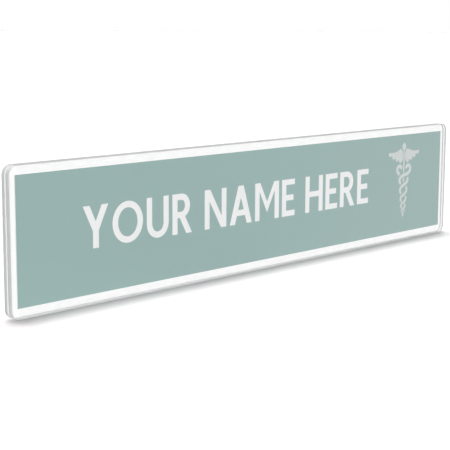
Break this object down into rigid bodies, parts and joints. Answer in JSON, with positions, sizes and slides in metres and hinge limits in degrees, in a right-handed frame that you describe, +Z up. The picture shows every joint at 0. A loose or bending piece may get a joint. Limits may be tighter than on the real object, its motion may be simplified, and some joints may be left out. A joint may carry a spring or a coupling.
{
  "type": "nameplate holder",
  "caption": "Slim clear acrylic sandwich with rounded corners that shows a printed name card and hangs on a fabric partition by hook pads; the card slides out at either end.",
  "frame": {"origin": "in the wall plane that the hook pads' outer faces lie in, behind the middle of the plate", "axes": "+X along the plate to the reader's right, +Y into the wall, +Z up; the printed front faces -Y"},
  "size_m": [0.254, 0.0059, 0.0508],
  "materials": {
    "clear_acrylic": "polished",
    "clear_bond_strip": "gloss",
    "printed_card": "satin",
    "hook_tape": "matte",
    "pad_adhesive": "satin"
  },
  "bodies": {
    "holder": {"front_panel": "clear_acrylic", "back_panel": "clear_acrylic", "upper_bond_strip": "clear_bond_strip", "lower_bond_strip": "clear_bond_strip", "hook_pad_left": "hook_tape", "hook_pad_right": "hook_tape", "pad_adhesive_left": "pad_adhesive", "pad_adhesive_right": "pad_adhesive"},
    "insert": {"insert_card": "printed_card"}
  },
  "joints": [
    {"name": "card_slide", "type": "slide", "parent": "holder", "child": "insert", "axis": [1, 0, 0], "range_m": [-0.2507, 0.2507]}
  ]
}
